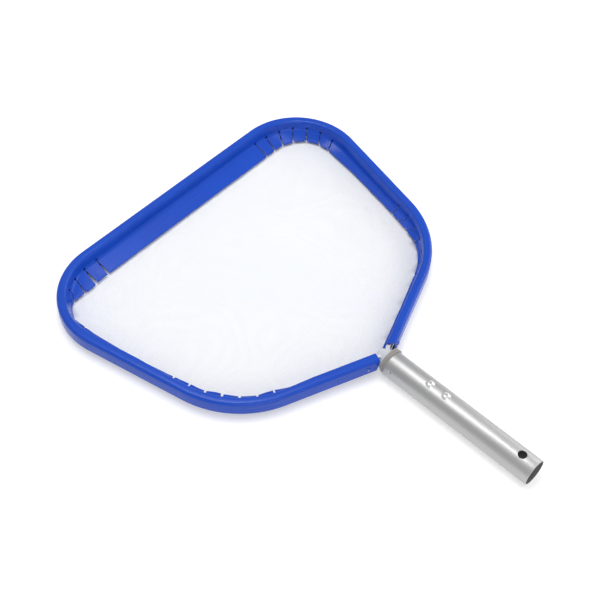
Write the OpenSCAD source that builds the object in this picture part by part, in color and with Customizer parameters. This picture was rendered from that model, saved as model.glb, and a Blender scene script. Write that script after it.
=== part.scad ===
// Leaf skimmer net: a flat net in a bar frame with a plastic edge guard, on a short pole socket.
// +Y runs from the pole socket's open end to the front edge, +Z is up, and the
// origin is the centre of the socket's open end. All sizes are in millimetres.

/* [Pole socket] */
// Outside diameter of the socket tube
tube_od = 28.6; // [24:0.1:36]
// Wall of the socket tube
tube_wall = 1.3; // [1.1:0.1:2]
// Length of the socket tube
tube_len = 181; // [150:1:260]
// Depth of the seat that is turned inside the tube for the plug
seat_cut = 0.3; // [0.2:0.05:0.4]
// How far the seat runs past the plug's end
seat_lead = 1; // [0.5:0.5:3]
// Bevel on the tube's outer edges
tube_bevel = 0.4; // [0.2:0.1:0.6]
// Diameter of the lock hole for the pole's spring button
lock_d = 9.5; // [5:0.1:11]
// Lock hole's centre from the open end
lock_y = 17.6; // [12:0.1:30]
// Radius of the ball that presses the staked dimples near the tube's inner end
stake_r = 3; // [2:0.1:4]
// Depth of the staked dimples
stake_deep = 0.4; // [0.2:0.1:0.5]
// Staked dimples, back from the tube's inner end
stake_back = 6.4; // [5:0.1:9]
// Angle of the staked dimples above the tube's sides
stake_angle = 23; // [0:1:45]

/* [Neck plug] */
// Clearance round the plug inside the tube
plug_gap = 0.1; // [0.05:0.05:0.3]
// Length of plug inside the tube
plug_deep = 77; // [70:1:90]
// Diameter of the plug's hollow end
core_d = 16; // [12:0.5:18]
// Depth of the plug's hollow end
core_deep = 33.5; // [32:0.5:40]
// Diameter of the plug where it passes the collar and forms the nose
nose_d = 24; // [22:0.5:26]
// Length of the nose in front of the collar
nose_len = 13.5; // [9:0.5:16]
// Gap between the nose and the guard's ends
nose_gap = 0.5; // [0.3:0.1:1]
// Length of the collar
collar_len = 5; // [3:0.5:8]
// Outside diameter of the collar
collar_od = 28.2; // [27:0.1:34]
// Rounding on the collar's outer edges
collar_round = 0.8; // [0.3:0.1:1.2]

/* [Frame bar] */
// Thickness of the flat bar
bar_t = 4; // [3:0.1:5]
// Height of the flat bar, on edge
bar_h = 13.5; // [10:0.1:14]
// Half the distance between the middles of the bar's two ends
bar_x = 4.6; // [4.2:0.1:5]
// Bend radius at the neck, to the middle of the bar
bar_bend = 6; // [5:0.1:7]
// Length of bar inside the tube
bar_tail = 40; // [38:0.5:50]
// Clearance round the bar in the guard and the plug
bar_gap = 0.1; // [0.05:0.05:0.3]
// Diameter of the cross pins
pin_d = 3; // [2:0.1:4]
// Length of the cross pins
pin_len = 25; // [22:0.1:25.2]
// First cross pin, back from the tube's inner end
pin_back = 16; // [12:0.5:20]
// Distance between the cross pins
pin_pitch = 15; // [10:0.5:18]
// Clearance round the cross pins
pin_gap = 0.05; // [0.02:0.01:0.1]

/* [Head outline] */
// Width between the front corners, measured where the straight edges would meet
front_w = 449.5; // [400:0.5:500]
// Width between the rear corners, measured where the straight edges would meet
rear_w = 329.2; // [300:0.5:360]
// Length from the neck point to the front edge
head_len = 328.5; // [300:0.5:360]
// Height of the rear corners in front of the neck point
rear_rise = 64; // [50:0.5:80]
// Neck point, where the arms' outer faces would meet, in front of the tube
neck_lead = 3.8; // [2:0.1:6]
// Outer radius of the front corners
front_r = 76.6; // [65:0.1:90]
// Outer radius of the rear corners
rear_r = 112.7; // [100:0.1:125]

/* [Edge guard] */
// Width of the guard's channel
bead_w = 11; // [10.5:0.1:14]
// Height of the guard's channel
bead_h = 20.3; // [19:0.1:24]
// Top of the channel above the tube's axis
bead_top = 10.3; // [9:0.1:12]
// Thickness of the guard's walls
wall = 1.8; // [1.2:0.1:2.2]
// Radius of the channel's upper outer edge
crown_r = 3.5; // [2.5:0.1:4]
// Radius of the channel's lower outer edge
heel_r = 5; // [3:0.1:6]
// Thickness of the flange
flange_t = 2; // [1.5:0.1:3]
// Flange reach from the outer face along the front edge
flange_front = 31.6; // [25:0.1:36]
// Flange reach along the sides, beside the front corners
flange_side = 22.4; // [18:0.1:26]
// Flange reach along the sides, beside the rear corners
flange_rear = 19.8; // [16:0.1:24]
// Flange reach along the arms
flange_arm = 14.6; // [14.4:0.1:18]
// Radius of the opening's front corners
open_front_r = 44; // [36:0.5:52]
// Radius of the opening's rear corners
open_rear_r = 84; // [74:0.5:94]
// Half the gap between the guard's ends at the neck, at the outer face
guard_end_x = 11.1; // [11:0.1:14]
// Thickness of the ribs inside and under the guard
rib_t = 1.2; // [0.9:0.1:1.5]
// Height of the ribs that grip the net's edge
rib_h = 2.5; // [2.2:0.1:3]
// Width of the groove between the grip ribs
groove_w = 3; // [2.8:0.1:3.6]
// Slits in the flange at each corner
slit_count = 7; // [3:1:9]
// Distance between the slits along the channel
slit_pitch = 18.4; // [14:0.1:20]
// Width of a slit
slit_w = 1; // [0.6:0.1:1.6]
// Diameter of the punched hole at the root of a slit
slit_hole_d = 3; // [2:0.1:4]
// Middle slit of each corner, ahead of the corner's middle
slit_lead = 14; // [8:0.5:20]

/* [Net] */
// Thickness of the net
net_t = 0.5; // [0.4:0.1:0.8]
// Thickness of the tape sewn round the net
hem_t = 0.4; // [0.3:0.05:0.6]
// Diameter of the cord that locks the net's edge in the groove
cord_d = 2.2; // [1.8:0.1:2.4]
// Clearance between the cord, the tape and the ribs
cord_gap = 0.1; // [0.05:0.05:0.15]

/* [Rivets] */
// Head diameter of the tube's rivets
tube_rivet_head_d = 9.5; // [8:0.1:11]
// Head height of the tube's rivets
tube_rivet_head_h = 2; // [1.2:0.1:2.6]
// Body diameter of the tube's rivets
tube_rivet_d = 4.8; // [4:0.1:5.5]
// Height of the formed tails of the tube's rivets
tube_rivet_tail_h = 2.6; // [1.5:0.1:3]
// Front rivet's centre, back from the tube's inner end
tube_rivet_back = 47.9; // [47:0.1:50]
// Distance between the tube's rivets
tube_rivet_pitch = 20.4; // [15:0.1:21]
// Head diameter of the guard's rivets
guard_rivet_head_d = 6.4; // [5:0.1:8]
// Head height of the guard's rivets
guard_rivet_head_h = 1.4; // [0.8:0.1:2]
// Body diameter of the guard's rivets
guard_rivet_d = 3.2; // [2.4:0.1:3.4]
// Height of the formed tails of the guard's rivets
guard_rivet_tail_h = 1.2; // [0.8:0.1:1.6]
// Guard's rivets, from the guard's ends
guard_rivet_in = 13.5; // [8:0.5:20]
// Height of the guard's rivets above the tube's axis
guard_rivet_z = 1; // [0:0.1:1]
// Clearance round the rivets and round the stems inside them
rivet_gap = 0.05; // [0.02:0.01:0.1]
// Width of a rivet's formed tail, in widths of its body
tail_share = 1.45; // [1.3:0.05:1.6]
// Width of a rivet's stem, in widths of its body
stem_share = 0.54; // [0.4:0.01:0.6]
// Width of the stem's head behind the tail, in widths of the rivet's body
stem_head_share = 0.8; // [0.7:0.05:1]
// Height of the stem's head, in widths of the rivet's body
stem_head_h = 0.3; // [0.2:0.05:0.5]
// How deep the stem's broken end lies below the top of the rivet's head, in heights of the head
stem_sunk = 0.25; // [0.1:0.05:0.4]

/* [Hidden] */
$fn = 64;
eps = 0.2;
// How far the guard's walls run past its ends before they are cut square
run_past = 2;
// Flats along each front corner, along each rear corner and at each end of the bar
front_flats = 20;
rear_flats = 14;
bend_flats = 8;
// Flats round the cord
cord_flats = 10;
// Steps round each outer edge of the guard
steps = 3;

// Tube and plug
tube_r = tube_od / 2;
bore_r = tube_r - tube_wall;
seat_r = bore_r + seat_cut;
plug_r = seat_r - plug_gap;
plug_y = tube_len - plug_deep;
seat_y = plug_y - seat_lead;
core_r = core_d / 2;
collar_y = tube_len + collar_len;
pin_y = [tube_len - pin_back, tube_len - pin_back - pin_pitch];
tube_rivet_ys = [tube_len - tube_rivet_back - tube_rivet_pitch, tube_len - tube_rivet_back];
tube_rivet_tail_d = tail_share * tube_rivet_d;
tube_rivet_grip = tube_r - sqrt(pow(core_r, 2) - pow(tube_rivet_tail_d / 2, 2));

// Outline of the head: front middle, front corner, rear corner, neck point
neck_y = tube_len + neck_lead;
front_y = neck_y + head_len;
edge = [
    [0, front_y],
    [front_w / 2, front_y],
    [rear_w / 2, neck_y + rear_rise],
    [0, neck_y]
];
side_dir = unit(edge[2] - edge[1]);
arm_dir = unit(edge[2] - edge[3]);
side_in = [side_dir[1], -side_dir[0]];
arm_in = [-arm_dir[1], arm_dir[0]];
side_a = outward_angle(edge[1], edge[2]);
arm_a = outward_angle(edge[2], edge[3]);
opening = inset(flange_front, flange_side, flange_rear, flange_arm);

// Where the guard and the bar's straight arms stop, measured from the neck point
guard_stop = guard_end_x / arm_dir[0];
guard_end = edge[3] + arm_dir * guard_stop;
wall_stop = guard_stop - run_past;

// Heights of the guard's section, and distances in from its outer face
bead_low = bead_top - bead_h;
flange_z = bead_low + flange_t;
inner_face = bead_w - wall;
bar_out = inner_face - bar_gap - bar_t;
bar_mid = bar_out + bar_t / 2;
bar_top = bead_top - wall - bar_gap;
bar_low = bar_top - bar_h;
bar_z = (bar_top + bar_low) / 2;
groove_in = inner_face + rib_t / 2;
groove_end = groove_in + groove_w;
rib_low = bead_low - rib_h;

// Net, tape and cord in the groove
hem_out = groove_end - cord_gap - hem_t;
hem_top = bead_low - cord_gap;
net_edge = hem_out + cord_gap;
cord_u = groove_in + cord_gap + cord_d / 2;
cord_z = hem_top - hem_t - cord_gap - cord_d / 2;

// Bend of the bar at the neck: distance of its centre in from the outer face, and its place
bend_u = bar_mid - bar_bend;
bar_stop = (bar_x + bar_bend - bend_u * arm_in[0]) / arm_dir[0];
bend_y = neck_y + bar_stop * arm_dir[1] + bend_u * arm_in[1];
bar_end_y = tube_len - bar_tail;

// Slits: length of the channel's middle line up to the middle of each corner
mid_front_r = front_r - bead_w / 2;
mid_rear_r = rear_r - bead_w / 2;
front_arc = mid_front_r * (90 - side_a) * PI / 180;
rear_arc = mid_rear_r * (side_a - arm_a) * PI / 180;
front_c = fillet_centre(edge[0], edge[1], edge[2], front_r);
rear_c = fillet_centre(edge[1], edge[2], edge[3], rear_r);
side_len = side_length(edge, front_r, rear_r);
slit_mid = [
    front_c[0] + front_arc / 2 - slit_lead,
    front_c[0] + front_arc + side_len + rear_arc / 2 - slit_lead
];

function unit(v) = v / norm(v);
function reverse(v) = [for (i = [len(v) - 1:-1:0]) v[i]];

// Angle of the outward side of the edge from a to b, with the head on its right
function outward_angle(a, b) = atan2(b[0] - a[0], a[1] - b[1]);

// Centre of the fillet of radius r in the corner at b, between the ways to a and c
function fillet_centre(a, b, c, r) =
    let (to_a = unit(a - b), to_c = unit(c - b))
    b + unit(to_a + to_c) * r / sin(acos(to_a * to_c) / 2);

// Length that the fillet of radius r takes off each edge at b
function fillet_length(a, b, c, r) = r / tan(acos(unit(a - b) * unit(c - b)) / 2);

// Straight length between the two fillets of an outline
function side_length(p, r1, r2) =
    norm(p[2] - p[1]) - fillet_length(p[0], p[1], p[2], r1) - fillet_length(p[1], p[2], p[3], r2);

// Meeting point of the line through p along d and the line through q along e
function crossing(p, d, q, e) =
    p + d * ((q[0] - p[0]) * e[1] - (q[1] - p[1]) * e[0]) / (d[0] * e[1] - d[1] * e[0]);

// Outline's four points, moved in by its own distance along each edge
function inset(front, side, rear, arm) =
    let (
        s = edge[1] + side_in * side,
        t = edge[2] + side_in * rear,
        a = edge[3] + arm_in * arm,
        f = edge[0] - [0, front],
        s_dir = unit(t - s)
    )
    [f, crossing(f, [1, 0], s, s_dir), crossing(s, s_dir, a, arm_dir), crossing(a, arm_dir, [0, 0], [0, 1])];

// Points on an arc of radius r round c, from the angle a to the angle b
function arc_points(c, r, a, b, n) =
    [for (i = [0:n]) c + r * [cos(a + (b - a) * i / n), sin(a + (b - a) * i / n)]];

// Round corners on the right of an outline, moved in by d
function corners(p, r1, r2, d) =
    let (s = outward_angle(p[1], p[2]), t = outward_angle(p[2], p[3]))
    concat(
        arc_points(fillet_centre(p[0], p[1], p[2], r1), r1 - d, 90, s, front_flats),
        arc_points(fillet_centre(p[1], p[2], p[3], r2), r2 - d, s, t, rear_flats)
    );

// Points on the left and on the right, in one row from the left arm to the right arm
function both(half) = concat([for (p = reverse(half)) [-p[0], p[1]]], half);

// Right half of a line that follows the head's outer face, d inside it, up to the arm's stop
function side_line(d, stop) =
    concat(corners(edge, front_r, rear_r, d), [edge[3] + arm_dir * stop + arm_in * d]);

// Right half of a line along the bar's course, u inside the head's outer face, down to end_y
function bar_line(u, end_y) =
    let (c = [bar_x + bar_bend, bend_y], r = u - bend_u)
    concat(
        corners(edge, front_r, rear_r, u),
        arc_points(c, r, arm_a + 180, 180, bend_flats),
        [[c[0] - r, end_y]]
    );

// Closed band between two such lines
function band(outer, inner) = concat(both(outer), reverse(both(inner)));

// Place s along the channel's middle line from the front middle, with its outward angle
function station(s) =
    let (
        s1 = front_c[0],
        s2 = s1 + front_arc,
        s3 = s2 + side_len,
        a = s < s1 ? 90
            : s < s2 ? 90 - (s - s1) / mid_front_r * 180 / PI
            : s < s3 ? side_a
            : side_a - (s - s3) / mid_rear_r * 180 / PI,
        out = [cos(a), sin(a)]
    )
    [
        s < s1 ? [s, front_y - bead_w / 2]
        : s < s2 ? front_c + mid_front_r * out
        : s < s3 ? front_c + mid_front_r * out + side_dir * (s - s2)
        : rear_c + mid_rear_r * out,
        a
    ];

// Copies of the children on the right and on the left
module both_sides() {
    children();
    mirror([1, 0, 0]) children();
}

// Wall that follows the head, between two distances inside its outer face and two heights
module ring_wall(d0, d1, z0, z1, stop = wall_stop) {
    translate([0, 0, z0]) linear_extrude(z1 - z0) polygon(band(side_line(d0, stop), side_line(d1, stop)));
}

// Cylinder along +Y from y0 to y1
module y_cylinder(r, y0, y1) {
    translate([0, y0, 0]) rotate([-90, 0, 0]) cylinder(r = r, h = y1 - y0);
}

// Places the children on the right arm's outer face, their +Z pointing into the head
module at_arm(along, z) {
    p = guard_end + arm_dir * along;
    translate([p[0], p[1], z]) rotate([0, 90, arm_a + 180]) children();
}

// Rectangle with its own radius at each corner: lower left, lower right, upper right, upper left
module round_box(x0, z0, x1, z1, r) {
    polygon([
        [x0 + r[0], z0], [x1 - r[1], z0], [x1, z0 + r[1]], [x1, z1 - r[2]],
        [x1 - r[2], z1], [x0 + r[3], z1], [x0, z1 - r[3]], [x0, z0 + r[0]]
    ]);
    translate([x0 + r[0], z0 + r[0]]) circle(r[0]);
    translate([x1 - r[1], z0 + r[1]]) circle(r[1]);
    translate([x1 - r[2], z1 - r[2]]) circle(r[2]);
    translate([x0 + r[3], z1 - r[3]]) circle(r[3]);
}

// Round cap of diameter d and height h, standing on z = 0
module dome(d, h) {
    r = (d * d / 4 + h * h) / (2 * h);
    rotate_extrude() intersection() {
        translate([0, h - r]) circle(r);
        square([d / 2, h]);
    }
}

// Set blind rivet: head below z = 0, body through the grip, formed tail past it
module blind_rivet(head_d, head_h, body_d, grip, tail_d, tail_h) {
    difference() {
        union() {
            mirror([0, 0, 1]) dome(head_d, head_h);
            cylinder(d = body_d, h = grip + eps);
            translate([0, 0, grip]) cylinder(d = tail_d, h = tail_h);
        }
        translate([0, 0, -head_h - eps])
            cylinder(r = stem_share * body_d / 2 + rivet_gap, h = head_h + grip + tail_h + 2 * eps);
    }
}

// Stem left in a set rivet, sunk a little below its head
module rivet_stem(head_h, body_d, grip, tail_h) {
    sunk = stem_sunk * head_h;
    translate([0, 0, sunk - head_h])
        cylinder(d = stem_share * body_d, h = head_h - sunk + grip + tail_h);
    translate([0, 0, grip + tail_h]) cylinder(d = stem_head_share * body_d, h = stem_head_h * body_d);
}

// Holes of the tube's rivets, through the tube and the plug's wall
module tube_rivet_holes() {
    for (y = tube_rivet_ys)
        translate([0, y, 0]) cylinder(r = tube_rivet_d / 2 + rivet_gap, h = tube_od);
}

// Holes of the guard's rivets, right through the arms
module guard_rivet_holes() {
    both_sides() at_arm(guard_rivet_in, guard_rivet_z) translate([0, 0, -eps])
        cylinder(r = guard_rivet_d / 2 + rivet_gap, h = bead_w + 2 * eps);
}

// Holes of the cross pins
module pin_holes() {
    for (y = pin_y)
        translate([0, y, bar_z]) rotate([0, 90, 0])
            cylinder(r = pin_d / 2 + pin_gap, h = tube_od, center = true);
}

// The bar, grown by a gap on every side
module bar_shape(gap) {
    translate([0, 0, bar_low - gap]) linear_extrude(bar_h + 2 * gap) polygon(band(
        bar_line(bar_out - gap, bar_end_y - gap), bar_line(bar_out + bar_t + gap, bar_end_y - gap)
    ));
}

module handle_tube() {
    color("silver") difference() {
        rotate([-90, 0, 0]) rotate_extrude() polygon([
            [bore_r, 0], [tube_r - tube_bevel, 0], [tube_r, tube_bevel],
            [tube_r, tube_len - tube_bevel], [tube_r - tube_bevel, tube_len], [seat_r, tube_len],
            [seat_r, seat_y], [bore_r, seat_y]
        ]);
        translate([0, lock_y, 0]) cylinder(d = lock_d, h = tube_od + eps, center = true);
        tube_rivet_holes();
        both_sides() translate([0, tube_len - stake_back, 0]) rotate([0, -stake_angle, 0])
            translate([tube_r + stake_r - stake_deep, 0, 0]) sphere(stake_r);
    }
}

module neck_plug() {
    slant = guard_end - arm_dir * nose_gap;
    reach = arm_in * bead_w * 2;
    color("gainsboro") difference() {
        union() {
            y_cylinder(plug_r, plug_y, tube_len);
            intersection() {
                y_cylinder(nose_d / 2, tube_len - eps, collar_y + nose_len);
                linear_extrude(2 * nose_d, center = true) both_sides() polygon([
                    [0, tube_len - eps], slant - reach, slant + reach, [0, slant[1] + reach[1]]
                ]);
            }
        }
        y_cylinder(core_r, plug_y - eps, plug_y + core_deep);
        bar_shape(bar_gap);
        tube_rivet_holes();
        pin_holes();
    }
}

module neck_collar() {
    r = collar_round * [1, 1, 1, 1];
    half_wall = (collar_od - nose_d) / 2 - plug_gap;
    color("dimgray") rotate([-90, 0, 0]) rotate_extrude()
        round_box(collar_od / 2 - half_wall, tube_len, collar_od / 2, collar_y, r);
}

module frame_bar() {
    color("lightgray") difference() {
        bar_shape(0);
        guard_rivet_holes();
        pin_holes();
    }
}

module frame_pins() {
    color("gray") for (y = pin_y)
        translate([0, y, bar_z]) rotate([0, 90, 0])
            cylinder(d = pin_d, h = pin_len, center = true);
}

// Slabs that step round an outer edge of radius r, starting at the height z and going up or down
module edge_steps(r, z, up) {
    for (i = [0:steps - 1]) {
        low = r * sin(90 * i / steps);
        high = r * sin(90 * (i + 1) / steps);
        inset = r * (1 - cos(90 * (i + 0.5) / steps));
        if (up) ring_wall(inset, bead_w, z + low, z + high);
        else ring_wall(inset, bead_w, z - high, z - low);
    }
}

// Channel of the guard: stepped round its outer edges, hollow, open below between its lip and its inner wall
module guard_channel() {
    difference() {
        union() {
            ring_wall(0, bead_w, bead_low + heel_r, bead_top - crown_r);
            edge_steps(crown_r, bead_top - crown_r, true);
            edge_steps(heel_r, bead_low + heel_r, false);
        }
        ring_wall(wall, inner_face, bead_low + wall, bead_top - wall, wall_stop - run_past);
        ring_wall(heel_r, inner_face, bead_low - eps, bead_low + wall + eps, wall_stop - run_past);
    }
}

module edge_guard() {
    rest_z = bar_z + guard_rivet_head_d / 2;
    color("royalblue") difference() {
        union() {
            guard_channel();
            // rib that holds the bar against the inner wall, and lip under the bar
            ring_wall(bar_out - bar_gap - rib_t, bar_out - bar_gap, rest_z, bead_top - wall + eps);
            ring_wall(inner_face - rib_t, inner_face + eps, bar_low - bar_gap - rib_t, bar_low - bar_gap);
            // ribs that grip the net's edge
            ring_wall(groove_in - rib_t, groove_in, rib_low, flange_z);
            ring_wall(groove_end, groove_end + rib_t, rib_low, bead_low + eps);
            // flange round the opening
            translate([0, 0, bead_low]) linear_extrude(flange_t) difference() {
                polygon(both(side_line(bead_w - wall / 2, wall_stop)));
                polygon(concat(both(corners(opening, open_front_r, open_rear_r, 0)), [opening[3]]));
            }
        }
        both_sides() for (mid = slit_mid, i = [0:slit_count - 1])
            slit(station(mid + (i - (slit_count - 1) / 2) * slit_pitch));
        guard_rivet_holes();
        guard_end_cut();
    }
}

// Space between the guard's two ends, which cuts them square to the arms
module guard_end_cut() {
    low = guard_end - arm_in * bead_w;
    top = crossing(guard_end, arm_in, [0, 0], [0, 1]);
    translate([0, 0, rib_low - eps]) linear_extrude(rib_h + bead_h + 2 * eps)
        polygon([low, top, [-low[0], low[1]]]);
}

// Slit through the flange at a station of the channel's middle line
module slit(at) {
    root = (bead_w + slit_hole_d) / 2 + eps;
    translate([at[0][0], at[0][1], rib_low - eps]) rotate([0, 0, at[1] + 180]) {
        translate([root, 0, 0]) cylinder(d = slit_hole_d, h = rib_h + flange_t + 2 * eps);
        translate([root, -slit_w / 2, 0]) cube([flange_front, slit_w, rib_h + flange_t + 2 * eps]);
    }
}

module guard_rivets() {
    color("royalblue") both_sides() at_arm(guard_rivet_in, guard_rivet_z)
        blind_rivet(
            guard_rivet_head_d, guard_rivet_head_h, guard_rivet_d,
            bead_w, tail_share * guard_rivet_d, guard_rivet_tail_h
        );
}

module guard_rivet_stems() {
    color("gray") both_sides() at_arm(guard_rivet_in, guard_rivet_z)
        rivet_stem(guard_rivet_head_h, guard_rivet_d, bead_w, guard_rivet_tail_h);
}

module net_mesh() {
    color("white") translate([0, 0, rib_low - net_t]) linear_extrude(net_t)
        polygon(both(side_line(net_edge, guard_stop)));
}

module net_hem() {
    color("whitesmoke") {
        ring_wall(hem_out, hem_out + hem_t, rib_low, hem_top, guard_stop);
        ring_wall(groove_in + cord_gap, hem_out + hem_t / 2, hem_top - hem_t, hem_top, guard_stop);
    }
}

// The cord is one tube: a ring of points at each place along the groove
module net_spline() {
    turn = 360 / cord_flats;
    ring = [for (j = [0:cord_flats - 1]) cord_d / 2 * [cos(turn * j), sin(turn * j)]];
    rows = [for (q = ring) both(side_line(cord_u + q[0], guard_stop))];
    places = len(rows[0]);
    points = [for (i = [0:places - 1], j = [0:cord_flats - 1]) concat(rows[j][i], [cord_z + ring[j][1]])];
    sides = [
        for (i = [0:places - 2], j = [0:cord_flats - 1])
        let (k = (j + 1) % cord_flats)
        [i * cord_flats + j, i * cord_flats + k, (i + 1) * cord_flats + k, (i + 1) * cord_flats + j]
    ];
    first = [for (j = [0:cord_flats - 1]) j];
    last = [for (j = first) (places - 1) * cord_flats + j];
    color("white") polyhedron(points, concat(sides, [reverse(first), last]));
}

module tube_rivets() {
    color("silver") for (y = tube_rivet_ys)
        translate([0, y, tube_r]) mirror([0, 0, 1]) blind_rivet(
            tube_rivet_head_d, tube_rivet_head_h, tube_rivet_d,
            tube_rivet_grip, tube_rivet_tail_d, tube_rivet_tail_h
        );
}

module tube_rivet_stems() {
    color("gray") for (y = tube_rivet_ys)
        translate([0, y, tube_r]) mirror([0, 0, 1])
            rivet_stem(tube_rivet_head_h, tube_rivet_d, tube_rivet_grip, tube_rivet_tail_h);
}

handle_tube();
neck_plug();
neck_collar();
frame_bar();
frame_pins();
edge_guard();
guard_rivets();
guard_rivet_stems();
net_mesh();
net_hem();
net_spline();
tube_rivets();
tube_rivet_stems();
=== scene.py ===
import random
from math import acos, atan2, ceil, cos, floor, hypot, pi, radians, sin, sqrt

import bmesh
import bpy
from bpy.props import FloatProperty, FloatVectorProperty, IntProperty, PointerProperty
from mathutils import Matrix, Vector


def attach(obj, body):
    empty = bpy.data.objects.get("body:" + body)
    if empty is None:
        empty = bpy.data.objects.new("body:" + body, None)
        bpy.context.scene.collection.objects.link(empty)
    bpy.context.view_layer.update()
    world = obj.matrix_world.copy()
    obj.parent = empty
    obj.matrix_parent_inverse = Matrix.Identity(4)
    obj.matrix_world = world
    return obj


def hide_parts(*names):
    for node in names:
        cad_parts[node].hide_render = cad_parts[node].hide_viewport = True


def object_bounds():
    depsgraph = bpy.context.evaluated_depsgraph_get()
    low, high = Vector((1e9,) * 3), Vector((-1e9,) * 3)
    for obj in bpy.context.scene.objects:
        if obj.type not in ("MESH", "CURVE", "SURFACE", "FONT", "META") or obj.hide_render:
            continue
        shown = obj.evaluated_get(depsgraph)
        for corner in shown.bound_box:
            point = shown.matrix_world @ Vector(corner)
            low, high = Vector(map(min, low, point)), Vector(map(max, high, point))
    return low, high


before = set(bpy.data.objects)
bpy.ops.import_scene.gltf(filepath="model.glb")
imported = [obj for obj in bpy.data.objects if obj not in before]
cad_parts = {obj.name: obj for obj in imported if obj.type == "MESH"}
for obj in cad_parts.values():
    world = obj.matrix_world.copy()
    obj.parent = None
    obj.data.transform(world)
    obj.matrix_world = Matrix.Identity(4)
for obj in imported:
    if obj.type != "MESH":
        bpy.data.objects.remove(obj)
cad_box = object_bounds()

bl_info = {
    "name": "Leaf skimmer net",
    "version": (1, 0, 0),
    "blender": (4, 5, 0),
    "location": "View3D > Sidebar > Skimmer",
    "description": "Dresses a leaf skimmer: slit edge guard, stretched net, hem, cord, socket tube, rivets and neck",
    "category": "Object",
}

MM = 0.001
WELD = 1e-6
PARALLEL = 1e-12
# Corners of the guard, and its halves
FRONT, REAR = "front", "rear"
LEFT, RIGHT = -1, 1


def length(name, mm, description):
    """A length property, its default given in millimetres."""
    return FloatProperty(name=name, description=description, default=mm * MM, unit="LENGTH", precision=5)


def colour(name, rgb, description):
    """A colour property, in linear values."""
    return FloatVectorProperty(name=name, description=description, default=rgb, size=3, subtype="COLOR", min=0, max=1)


class SkimmerHeadSizes(bpy.types.PropertyGroup):
    """Outline of the head and section of its edge guard"""

    front_w: length("Front width", 449.5, "Width where the straight edges would meet at the front corners")
    rear_w: length("Rear width", 329.2, "Width where the straight edges would meet at the rear corners")
    head_len: length("Head length", 328.5, "From the neck point to the front edge")
    rear_rise: length("Rear rise", 64, "Rear corners in front of the neck point")
    neck_y: length("Neck point", 184.8, "Where the arms' outer faces would meet")
    front_r: length("Front radius", 76.6, "Outer radius of the front corners")
    rear_r: length("Rear radius", 112.7, "Outer radius of the rear corners")
    bead_w: length("Channel width", 11, "Width of the guard's channel")
    bead_top: length("Channel top", 10.3, "Top of the channel above the tube's axis")
    bead_low: length("Channel bottom", -10, "Bottom of the channel, level with the flange")
    wall: length("Wall", 1.8, "Thickness of the guard's walls")
    crown_r: length("Crown radius", 3.5, "Rounding of the upper outer edge")
    shoulder_r: length("Shoulder radius", 2.6, "Rounding of the upper inner edge")
    heel_r: length("Heel radius", 5, "Rounding of the lower outer edge")
    root_r: length("Root radius", 3, "Fillet between the inner wall and the flange")
    flange_t: length("Flange thickness", 2, "Thickness of the flange")
    flange_front: length("Front flange", 31.6, "Flange reach along the front edge")
    flange_side: length("Side flange", 22.4, "Flange reach beside the front corners")
    flange_rear: length("Rear flange", 19.8, "Flange reach beside the rear corners")
    flange_arm: length("Arm flange", 14.6, "Flange reach along the arms")
    open_front_r: length("Opening front radius", 44, "Radius of the opening's front corners")
    open_rear_r: length("Opening rear radius", 84, "Radius of the opening's rear corners")
    guard_end_x: length("Guard ends", 11.1, "Half the gap between the guard's ends, at the outer face")
    rib_t: length("Rib", 1.2, "Thickness of the ribs")
    rib_h: length("Rib height", 2.5, "Height of the ribs that grip the net's edge")
    slit_pitch: length("Slit pitch", 18.4, "Distance between the slits along the channel")
    slit_w: length("Slit width", 1.25, "Width of a slit")
    slit_flare: FloatProperty(
        name="Slit flare", description="Width of a slit 34 mm from its root, over its width there", default=2.4, min=1
    )
    slit_hole: length("Slit hole", 3, "Diameter of the punched hole at the root of a slit")
    slit_lead: length("Slit lead", 14, "Middle slit of each corner, ahead of the corner's middle")
    slit_count: IntProperty(name="Slits", description="Slits at each corner", default=7, min=1, max=9)


class SkimmerNeckSizes(bpy.types.PropertyGroup):
    """Socket tube, plug, collar and rivets"""

    tube_r: length("Tube radius", 14.3, "Outer radius of the socket tube")
    bore_r: length("Bore radius", 13, "Inner radius of the socket tube")
    seat_r: length("Seat radius", 13.3, "Inner radius of the seat for the plug")
    seat_y: length("Seat start", 103, "Where the seat starts")
    tube_len: length("Tube length", 182.3, "Length of the socket tube")
    rim_r: length("Rim rounding", 0.4, "Rounding of the tube's edges")
    lock_y: length("Lock hole place", 17.6, "Lock hole's centre from the open end")
    lock_d: length("Lock hole", 9.5, "Diameter of the lock hole")
    plug_r: length("Plug radius", 13.2, "Radius of the plug inside the tube")
    plug_y: length("Plug start", 104, "Where the plug starts")
    core_r: length("Core radius", 8, "Radius of the plug's hollow end")
    core_y: length("Core end", 137.5, "Where the plug's hollow ends")
    nose_r: length("Nose radius", 12, "Radius of the plug's nose")
    nose_y: length("Nose end", 199.5, "Where the nose ends")
    collar_y: length("Collar end", 187.3, "Where the collar ends")
    collar_r: length("Collar radius", 14.6, "Outer radius of the collar")
    rivet_y: length("Rivet place", 112.7, "Rear rivet's centre from the open end")
    rivet_pitch: length("Rivet pitch", 20.4, "Distance between the tube's rivets")


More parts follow.
